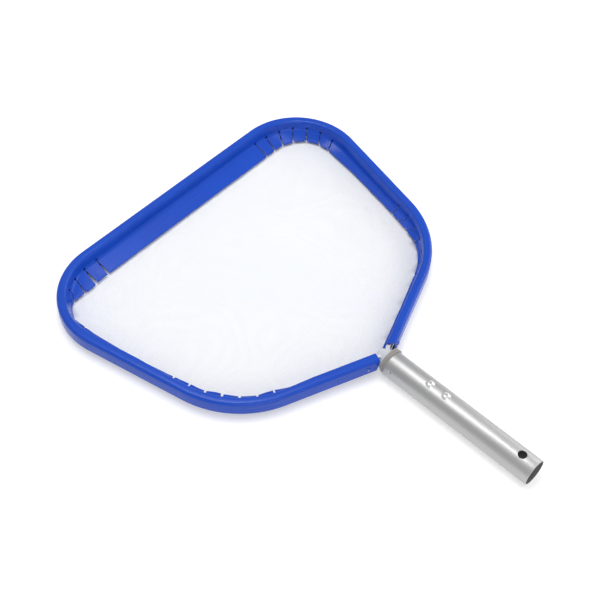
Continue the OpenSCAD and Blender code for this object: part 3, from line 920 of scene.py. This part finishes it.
def tilt_fingers(obj, o):
    """Each finger between two slits leans along the bend and lies at its own small angle; the ribs stay."""
    h = head()
    rng = random.Random(7)
    tilts = {}
    for corner in (FRONT, REAR):
        for side in (LEFT, RIGHT):
            for i in range(h.slit_count - 1):
                tilts[corner, side, i] = radians(rng.uniform(*FINGER_TILT[corner, side]))
    hinge = h.bead_w + HINGE
    bm = bmesh.new()
    bm.from_mesh(obj.data)
    for v in bm.verts:
        s, u = o.locate(v.co.x, v.co.y)
        if u < hinge or v.co.z < h.bead_low - 1 * MM:
            continue
        side = RIGHT if v.co.x >= 0 else LEFT
        corner = o.corner_of(s)
        i = floor((s - o.slits(corner, side)[0]) / o.pitch(corner, side))
        lean = tip_skew(s, side) * min(1.0, (u - hinge) / (o.reach(s, side) - hinge))
        a = tilts.get((corner, side, i), 0.0)
        put(v, o, s + lean, hinge + (u - hinge) * cos(a), v.co.z + (u - hinge) * sin(a), side)
    bm.to_mesh(obj.data)
    bm.free()


class SKIMMER_OT_guard(bpy.types.Operator):
    """Edge guard: rounded channel with a slit flange"""

    bl_idname = "skimmer.guard"
    bl_label = "Edge guard"

    def execute(self, context):
        bm, o = sweep(guard_section())
        shape_flange(bm, o)
        obj = made(bm, "guard")
        obj.data.materials.append(blue_plastic())
        # The slits and notches get the paler cut finish, partly a painted highlight
        pale = cut_whitening_and_highlight()
        cutters = [made(part, "slit_cutter") for part in slit_cutters(o)]
        for i, cutter in enumerate(cutters):
            # The first of each three is the hole, which stays blue inside
            cutter.data.materials.append(pale if i % 3 else obj.data.materials[0])
        cut_together(obj, cutters)
        tilt_fingers(obj, o)
        path_uv(obj, o)
        smooth(obj)
        finish_piece(obj, None, "edge_guard")
        return {"FINISHED"}


# Where the net's edge lies, in from the guard's outer face
NET_EDGE = 12.4 * MM
# How far the net sags, and how far in from its edge it sags fully
NET_SAG, NET_SLACK = 0.8 * MM, 60 * MM
NET_THICK = 0.35 * MM


class SKIMMER_OT_net(bpy.types.Operator):
    """Net: fine mesh, stretched flat"""

    bl_idname = "skimmer.net"
    bl_label = "Net"

    def execute(self, context):
        o, h = Outline(), head()
        z, m = h.bead_low - h.rib_h, o.marks
        places = [m[i] + (m[i + 1] - m[i]) * k / 32 for i in (1, 3) for k in range(33)] + [m[5]]
        right = [o.point(s, NET_EDGE) for s in places]
        ring = [Vector((-p.x, p.y)) for p in reversed(right)] + right
        bm = bmesh.new()
        bm.faces.new([bm.verts.new((p.x, p.y, z)) for p in ring])
        step = 9 * MM
        box = [min(p.x for p in ring), max(p.x for p in ring), min(p.y for p in ring), max(p.y for p in ring)]
        for axis, (lo, hi) in enumerate((box[:2], box[2:])):
            for i in range(1, ceil((hi - lo) / step)):
                at, way = [0, 0, 0], [0, 0, 0]
                at[axis], way[axis] = lo + i * step, 1
                bmesh.ops.bisect_plane(bm, geom=everything(bm), plane_co=at, plane_no=way)
        flat = sum(f.calc_area() for f in bm.faces)
        for v in bm.verts:
            s, u = o.locate(v.co.x, v.co.y)
            slack = min(1.0, max(0.0, (u - NET_EDGE) / NET_SLACK))
            ripple = 0.06 * MM * slack * sin(v.co.x * 210) * sin(v.co.y * 170)
            v.co.z -= NET_SAG * slack * slack * (3 - 2 * slack) + ripple
        bmesh.ops.recalc_face_normals(bm, faces=bm.faces)
        obj = made(bm, "net")
        mod = obj.modifiers.new("thickness", "SOLIDIFY")
        mod.thickness, mod.offset = NET_THICK, -1
        finish_piece(obj, net_cloth(), "net_mesh")
        return {"FINISHED"}


class SKIMMER_OT_hem(bpy.types.Operator):
    """Hem: tape folded over the net's edge"""

    bl_idname = "skimmer.hem"
    bl_label = "Hem"

    def execute(self, context):
        h = head()
        low, top = h.bead_low - h.rib_h, h.bead_low - 0.1 * MM
        start, stop, t, r = 9.9 * MM, 12.7 * MM, 0.4 * MM, 0.35 * MM
        profile = [(stop, low)] + arc(stop - r, top - r, r, 0, 90, 3)
        profile += [(start, top), (start, top - t), (stop - t, top - t), (stop - t, low)]
        bm, o = sweep(profile, 36, 30)
        obj = made(bm, "hem")
        path_uv(obj, o)
        finish_piece(obj, tape_cloth(), "net_hem")
        return {"FINISHED"}


class SKIMMER_OT_cord(bpy.types.Operator):
    """Ribbed cord that locks the net's edge in its groove"""

    bl_idname = "skimmer.cord"
    bl_label = "Spline cord"

    def execute(self, context):
        u, z, r, ribs = 11 * MM, -11.7 * MM, 1.1 * MM, 10
        profile = []
        for i in range(2 * ribs):
            rr = r * (1 if i % 2 else 0.9)
            profile.append((u + rr * cos(pi * i / ribs), z + rr * sin(pi * i / ribs)))
        bm, o = sweep(profile, 36, 30)
        obj = made(bm, "cord", 60)
        path_uv(obj, o)
        finish_piece(obj, cord_vinyl(), "net_spline")
        return {"FINISHED"}


class SKIMMER_OT_tube(bpy.types.Operator):
    """Socket tube with its lock hole, rivet holes and staked dimples"""

    bl_idname = "skimmer.tube"
    bl_label = "Socket tube"

    def execute(self, context):
        n = neck()
        e = n.rim_r
        profile = arc(n.tube_r - e, e, e, -90, 0, 4) + arc(n.tube_r - e, n.tube_len - e, e, 0, 90, 4)
        profile += [(n.seat_r, n.tube_len), (n.seat_r, n.seat_y), (n.bore_r, n.seat_y)]
        profile += [(n.bore_r, 0.3 * MM), (n.bore_r + 0.15 * MM, 0)]
        obj = made(lathe(profile, "Y", 128), "tube")
        obj.data.materials.append(tube_aluminium())
        # The lock hole goes through both walls, the rivet holes through the upper one
        rivet_hole = 2.45 * MM
        holes = [(n.lock_d / 2, n.lock_y, 0, 40 * MM)]
        holes += [(rivet_hole, n.rivet_y + i * n.rivet_pitch, 10 * MM, 20 * MM) for i in range(2)]
        cutters = [made(drill(r, deep, 48, Matrix.Translation((0, y, z))), "hole_cutter") for r, y, z, deep in holes]
        for side in (LEFT, RIGHT):
            bm = bmesh.new()
            a, y, deep, r = radians(23), n.tube_len - 7.7 * MM, 0.75 * MM, 2.3 * MM
            out = n.tube_r + r - deep
            at = Matrix.Translation((side * out * cos(a), y, out * sin(a)))
            bmesh.ops.create_uvsphere(bm, u_segments=32, v_segments=20, radius=r, matrix=at)
            cutters.append(made(bm, "dimple_cutter"))
        for cutter in cutters:
            cutter.data.materials.append(obj.data.materials[0])
        cut(obj, cutters)
        smooth(obj, 28)
        finish_piece(obj, None, "handle_tube")
        return {"FINISHED"}


def rivet_profile(head_r, head_h, body_r, grip, tail_r, tail_h, hole_r):
    """Section of a set blind rivet: domed head with a soft rim round the hole, body and formed tail."""
    dome = (head_r * head_r + head_h * head_h) / (2 * head_h)
    rim, skirt = 0.25 * MM, 0.12 * MM
    p = [(hole_r, -grip - tail_h), (tail_r - rim, -grip - tail_h), (tail_r, -grip - tail_h + rim), (tail_r, -grip)]
    p += [(body_r, -grip), (body_r, 0), (head_r - rim, 0), (head_r, skirt)]
    start = hole_r + rim
    for i in range(9):
        r = head_r - (head_r - start) * (i + 1) / 9
        p.append((r, skirt + (head_h - skirt) * (sqrt(max(0, dome * dome - r * r)) - (dome - head_h)) / head_h))
    p += [(hole_r, p[-1][1] - 0.2 * MM)]
    return p


def stem_profile(r, head_h, depth):
    """Section of a rivet's stem: broken top a little below the head, swollen end behind the tail."""
    top = 0.95 * head_h
    tail = [(0, -depth - 1.4 * MM), (1.5 * r, -depth - 1.4 * MM), (1.5 * r, -depth), (r, -depth)]
    return tail + [(r, top - 0.3 * MM), (0.85 * r, top - 0.08 * MM), (0.4 * r, top), (0, top)]


class SKIMMER_OT_tube_rivets(bpy.types.Operator):
    """Two domed blind rivets on the tube, formed to its round top, and their stems"""

    bl_idname = "skimmer.tube_rivets"
    bl_label = "Tube rivets"

    def execute(self, context):
        n = neck()
        head_r, head_h, tail_h, grip = 4.75 * MM, 2 * MM, 2.6 * MM, 7.16 * MM
        body_r, tail_r, hole_r, stem_r = 2.35 * MM, 3.48 * MM, 1.35 * MM, 1.25 * MM
        heads, stems = [], []
        for i in range(2):
            bm = lathe(rivet_profile(head_r, head_h, body_r, grip, tail_r, tail_h, hole_r), "Z", 48)
            for v in bm.verts:
                drop = n.tube_r - sqrt(n.tube_r ** 2 - v.co.x ** 2)
                share = max(0.0, 1 - v.co.z / head_h) if v.co.z > -0.01 * MM else 0
                v.co.z -= drop * share
            heads.append(bm)
            stems.append(lathe(stem_profile(stem_r, head_h, grip + tail_h), "Z", 24))
            for bm in (heads[-1], stems[-1]):
                bmesh.ops.translate(bm, verts=bm.verts, vec=(0, n.rivet_y + i * n.rivet_pitch, n.tube_r))
        metal = aluminium("rivet_aluminium", tuple(tints().rivet), (500, 500, 500), 0.42).material
        finish_piece(made(joined(heads), "tube_rivet_heads", 40), metal, "tube_rivets")
        finish_piece(made(joined(stems), "tube_rivet_cores", 40), steel(), "tube_rivet_stems")
        return {"FINISHED"}


class SKIMMER_OT_guard_rivets(bpy.types.Operator):
    """Colour-matched rivet through each end of the guard, and its stem"""

    bl_idname = "skimmer.guard_rivets"
    bl_label = "Guard rivets"

    def execute(self, context):
        o, grip = Outline(), head().bead_w
        head_r, head_h, tail_h, z = 3.2 * MM, 1.4 * MM, 0.7 * MM, 1 * MM
        body_r, tail_r, hole_r, stem_r = 1.55 * MM, 2.32 * MM, 0.9 * MM, 0.85 * MM
        heads, stems = [], []
        p = o.end + o.arm * 13.5 * MM
        for side in (LEFT, RIGHT):
            turn = heading(-o.arm_in, side) @ Matrix.Rotation(pi / 2, 4, "Y")
            place = Matrix.Translation((p.x * side, p.y, z)) @ turn
            heads.append(lathe(rivet_profile(head_r, head_h, body_r, grip, tail_r, tail_h, hole_r), "Z", 32))
            stems.append(lathe(stem_profile(stem_r, head_h, grip - 1.2 * MM), "Z", 32))
            for bm in (heads[-1], stems[-1]):
                bmesh.ops.transform(bm, matrix=place, verts=bm.verts)
        finish_piece(made(joined(heads), "guard_rivet_heads", 40), blue_paint(), "guard_rivets")
        finish_piece(made(joined(stems), "guard_rivet_cores", 40), steel(), "guard_rivet_stems")
        return {"FINISHED"}


# The collar stands proud of the tube on the right and at the top
COLLAR_OFFSET = (0.8 * MM, 0, 1.2 * MM)


class SKIMMER_OT_neck(bpy.types.Operator):
    """Collar ring, and the plug whose nose shows between the guard's ends"""

    bl_idname = "skimmer.neck"
    bl_label = "Neck"

    def execute(self, context):
        n, o = neck(), Outline()
        r, y0, y1, e = n.collar_r, n.tube_len, n.collar_y, 0.6 * MM
        split, groove = y0 + 2 * MM, 0.6 * MM
        profile = [(n.nose_r + 0.1 * MM, y0)] + arc(r - 0.25 * MM, y0 + 0.25 * MM, 0.25 * MM, -90, 0, 3)
        profile += [(r, split - groove), (r - groove, split), (r - 0.1 * MM, split + groove)]
        profile += arc(r - 0.1 * MM - e, y1 - e, e, 0, 90, 4) + [(n.nose_r + 0.1 * MM, y1)]
        bm = lathe(profile, "Y", 96)
        proud = [v for v in bm.verts if hypot(v.co.x, v.co.z) > n.nose_r + 0.5 * MM]
        bmesh.ops.translate(bm, verts=proud, vec=COLLAR_OFFSET)
        finish_piece(made(bm, "collar"), moulded("grey_plastic", tuple(tints().collar), 0.42), "neck_collar")
        e, tip = 1.2 * MM, n.nose_r - 4.5 * MM
        profile = [(0, n.core_y), (n.core_r, n.core_y), (n.core_r, n.plug_y), (n.plug_r - 0.4 * MM, n.plug_y)]
        profile += [(n.plug_r, n.plug_y + 0.4 * MM), (n.plug_r, n.tube_len), (n.nose_r, n.tube_len)]
        profile += [(n.nose_r, n.collar_y + 1 * MM)] + arc(tip - e, n.nose_y - e, e, 15, 90, 4) + [(0, n.nose_y)]
        bm = lathe(profile, "Y", 96)
        # The nose ends at the guard's ends, but stands out further on the right
        for side, further in ((LEFT, 0), (RIGHT, 3 * MM)):
            way = Vector((o.arm.x * side, o.arm.y, 0))
            at = Vector((o.end.x * side, o.end.y, 0)) + way * further
            bmesh.ops.bisect_plane(bm, geom=everything(bm), plane_co=at, plane_no=way, clear_outer=True)
            bmesh.ops.holes_fill(bm, edges=open_edges(bm), sides=0)
        bmesh.ops.recalc_face_normals(bm, faces=bm.faces)
        plug = made(bm, "plug")
        mod = plug.modifiers.new("edges", "BEVEL")
        mod.width, mod.segments, mod.limit_method, mod.angle_limit = 0.3 * MM, 2, "ANGLE", radians(35)
        finish_piece(plug, moulded("pale_plastic", tuple(tints().plug), 0.4), "neck_plug")
        return {"FINISHED"}


class SKIMMER_OT_metal(bpy.types.Operator):
    """Finishes of the bar and the pins, whose shapes stay as they are"""

    bl_idname = "skimmer.metal"
    bl_label = "Bar and pins"

    def execute(self, context):
        for node, material in (
            ("frame_bar", aluminium("mill_aluminium", tuple(tints().bar), (40, 40, 1200), 0.34).material),
            ("frame_pins", steel()),
        ):
            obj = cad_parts[node]
            obj.data.materials.clear()
            obj.data.materials.append(material)
        return {"FINISHED"}


# Light all round, and the light that the floor adds where the camera, a mirror or glass sees it
WORLD_LIGHT = 0.56
FLOOR_GLOW = 0.32


def floor_paint():
    """Pale floor that the camera and mirrors see white, with the shadow kept."""
    n = Nodes("floor_paint")
    cloud = n.noise(3, 2, 0.5)
    c = tuple(tints().floor)
    n.set(Base_Color=n.mottled(cloud, c, shade(c, 0.985)), Roughness=0.8, Specular_IOR_Level=0.0)
    path = n.new("ShaderNodeLightPath")
    mirrored = n.math("MAXIMUM", path.outputs["Is Glossy Ray"], path.outputs["Is Transmission Ray"])
    seen = n.math("MAXIMUM", path.outputs["Is Camera Ray"], mirrored)
    glow = n.new("ShaderNodeEmission", in_Strength=n.math("MULTIPLY", seen, FLOOR_GLOW))
    return n.join("ShaderNodeAddShader", n.shader.outputs[0], glow.outputs[0])


def soft_light(name, at, size, power):
    """Rectangular light that looks at the middle of the object."""
    lamp = bpy.data.lights.new(name, "AREA")
    lamp.shape, lamp.size, lamp.size_y = "RECTANGLE", size[0], size[1]
    lamp.energy = power
    obj = bpy.data.objects.new(name, lamp)
    bpy.context.scene.collection.objects.link(obj)
    obj.location = at
    obj.rotation_euler = (Vector((0, 0.25, 0)) - Vector(at)).to_track_quat("-Z", "Y").to_euler()


class SKIMMER_OT_stage(bpy.types.Operator):
    """Floor, soft lights and camera"""

    bl_idname = "skimmer.stage"
    bl_label = "Stage"

    def execute(self, context):
        scene = context.scene
        bm = bmesh.new()
        bmesh.ops.create_grid(bm, x_segments=2, y_segments=2, size=20)
        bmesh.ops.translate(bm, verts=bm.verts, vec=(0, 0, cad_box[0][2] - 0.05 * MM))
        floor = made(bm, "floor")
        floor.data.materials.append(floor_paint())

        world = bpy.data.worlds.new("studio")
        scene.world = world
        world.use_nodes = True
        back = world.node_tree.nodes["Background"]
        back.inputs["Color"].default_value = (1, 1, 1, 1)
        back.inputs["Strength"].default_value = WORLD_LIGHT
        soft_light("key", (0.1, 0.75, 2.1), (1.1, 1.1), 21)
        soft_light("fill_left", (-1.1, -1.6, 1.1), (1.6, 1.4), 14)
        soft_light("fill_right", (1.9, -0.3, 1.0), (1.6, 1.4), 15)

        camera = bpy.data.cameras.new("camera")
        camera.lens, camera.sensor_width = 74.576, 36
        obj = bpy.data.objects.new("camera", camera)
        scene.collection.objects.link(obj)
        right = Vector((0.6853, -0.7277, 0.0287))
        down = Vector((-0.5685, -0.5591, -0.6035))
        ahead = Vector((0.4552, 0.3972, -0.7969))
        turn = Matrix((right, -down, -ahead)).transposed()
        obj.rotation_euler = turn.to_euler()
        obj.location = (-0.60669, -0.21848, 1.05055)
        scene.camera = obj
        scene.view_settings.view_transform = "Standard"
        return {"FINISHED"}


class SKIMMER_PT_panel(bpy.types.Panel):
    """Leaf skimmer net"""

    bl_idname = "SKIMMER_PT_panel"
    bl_label = "Leaf skimmer net"
    bl_space_type = "VIEW_3D"
    bl_region_type = "UI"
    bl_category = "Skimmer"

    def draw(self, context):
        for operator in OPERATORS:
            self.layout.operator(operator.bl_idname)
        for group in (head(), neck(), tints()):
            column = self.layout.column()
            for key in group.bl_rna.properties.keys():
                if key not in ("rna_type", "name"):
                    column.prop(group, key)


OPERATORS = (
    SKIMMER_OT_guard,
    SKIMMER_OT_hem,
    SKIMMER_OT_cord,
    SKIMMER_OT_net,
    SKIMMER_OT_tube,
    SKIMMER_OT_tube_rivets,
    SKIMMER_OT_guard_rivets,
    SKIMMER_OT_neck,
    SKIMMER_OT_metal,
    SKIMMER_OT_stage,
)
GROUPS = (SkimmerHeadSizes, SkimmerNeckSizes, SkimmerColours)


def register():
    for cls in (*GROUPS, *OPERATORS, SKIMMER_PT_panel):
        bpy.utils.register_class(cls)
    bpy.types.Scene.skimmer_head = PointerProperty(type=SkimmerHeadSizes)
    bpy.types.Scene.skimmer_neck = PointerProperty(type=SkimmerNeckSizes)
    bpy.types.Scene.skimmer_colours = PointerProperty(type=SkimmerColours)


def unregister():
    del bpy.types.Scene.skimmer_colours, bpy.types.Scene.skimmer_neck, bpy.types.Scene.skimmer_head
    for cls in reversed((*GROUPS, *OPERATORS, SKIMMER_PT_panel)):
        bpy.utils.unregister_class(cls)


def main():
    register()
    for operator in OPERATORS:
        group, name = operator.bl_idname.split(".")
        getattr(getattr(bpy.ops, group), name)()
    bpy.context.view_layer.update()


if __name__ == "__main__":
    main()
